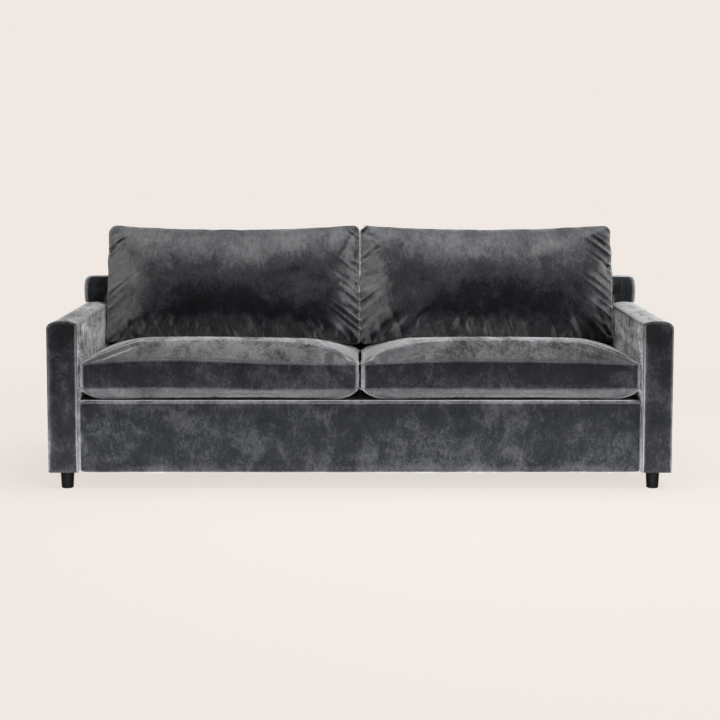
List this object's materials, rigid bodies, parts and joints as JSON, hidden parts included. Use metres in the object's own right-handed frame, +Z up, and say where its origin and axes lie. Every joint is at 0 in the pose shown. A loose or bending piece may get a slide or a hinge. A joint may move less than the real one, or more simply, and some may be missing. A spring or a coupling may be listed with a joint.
{
  "type": "sofa",
  "caption": "Upholstered sofa with slim arms, a low back frame, boxed seat cushions and loose back pillows that lift off.",
  "frame": {"origin": "on the floor, under the middle of the overall box", "axes": "+X across to the right as seen from the front, -Y towards the front, +Z up"},
  "size_m": [2.235, 0.965, 0.9097],
  "materials": {
    "velvet": "matte",
    "foam": "matte",
    "fibre": "matte",
    "plywood": "matte",
    "hardwood": "matte",
    "spring_steel": "satin",
    "black_wood": "satin",
    "black_cloth": "matte"
  },
  "bodies": {
    "frame": {"front_rail": "hardwood", "rear_rail": "hardwood", "left_side_rail": "hardwood", "right_side_rail": "hardwood", "centre_stretcher": "hardwood", "centre_foot": "black_wood", "front_clip_strip": "spring_steel", "rear_clip_strip": "spring_steel", "seat_spring_1": "spring_steel", "seat_spring_2": "spring_steel", "seat_spring_3": "spring_steel", "seat_spring_4": "spring_steel", "seat_spring_5": "spring_steel", "seat_spring_6": "spring_steel", "seat_spring_7": "spring_steel", "seat_spring_8": "spring_steel", "seat_spring_9": "spring_steel", "seat_spring_10": "spring_steel", "deck_cloth": "black_cloth", "deck_pad": "fibre", "dust_cover": "black_cloth", "apron_cover": "velvet", "apron_pad": "foam", "back_cover": "velvet", "back_pad": "foam", "left_back_rib": "plywood", "centre_back_rib": "plywood", "right_back_rib": "plywood", "back_top_rail": "hardwood", "left_wing_board": "plywood", "right_wing_board": "plywood", "outside_back": "velvet", "left_arm_cover": "velvet", "left_arm_pad": "foam", "left_arm_inner_panel": "plywood", "left_arm_outer_panel": "plywood", "left_arm_top_board": "plywood", "left_arm_front_board": "plywood", "left_arm_rear_board": "plywood", "left_arm_base_block": "hardwood", "left_front_foot": "black_wood", "left_rear_foot": "black_wood", "right_arm_cover": "velvet", "right_arm_pad": "foam", "right_arm_inner_panel": "plywood", "right_arm_outer_panel": "plywood", "right_arm_top_board": "plywood", "right_arm_front_board": "plywood", "right_arm_rear_board": "plywood", "right_arm_base_block": "hardwood", "right_front_foot": "black_wood", "right_rear_foot": "black_wood"},
    "left_seat_cushion": {"left_seat_cushion_cover": "velvet", "left_seat_cushion_foam": "foam"},
    "left_back_pillow": {"left_back_pillow_cover": "velvet", "left_back_pillow_filling": "fibre"},
    "right_seat_cushion": {"right_seat_cushion_cover": "velvet", "right_seat_cushion_foam": "foam"},
    "right_back_pillow": {"right_back_pillow_cover": "velvet", "right_back_pillow_filling": "fibre"}
  },
  "joints": [
    {"name": "left_seat_cushion_lift", "type": "slide", "parent": "frame", "child": "left_seat_cushion", "axis": [0, 0, 1], "range_m": [0, 0.42]},
    {"name": "left_back_pillow_lift", "type": "slide", "parent": "left_seat_cushion", "child": "left_back_pillow", "axis": [0, 0, 1], "range_m": [0, 0.3]},
    {"name": "right_seat_cushion_lift", "type": "slide", "parent": "frame", "child": "right_seat_cushion", "axis": [0, 0, 1], "range_m": [0, 0.42]},
    {"name": "right_back_pillow_lift", "type": "slide", "parent": "right_seat_cushion", "child": "right_back_pillow", "axis": [0, 0, 1], "range_m": [0, 0.3]}
  ]
}
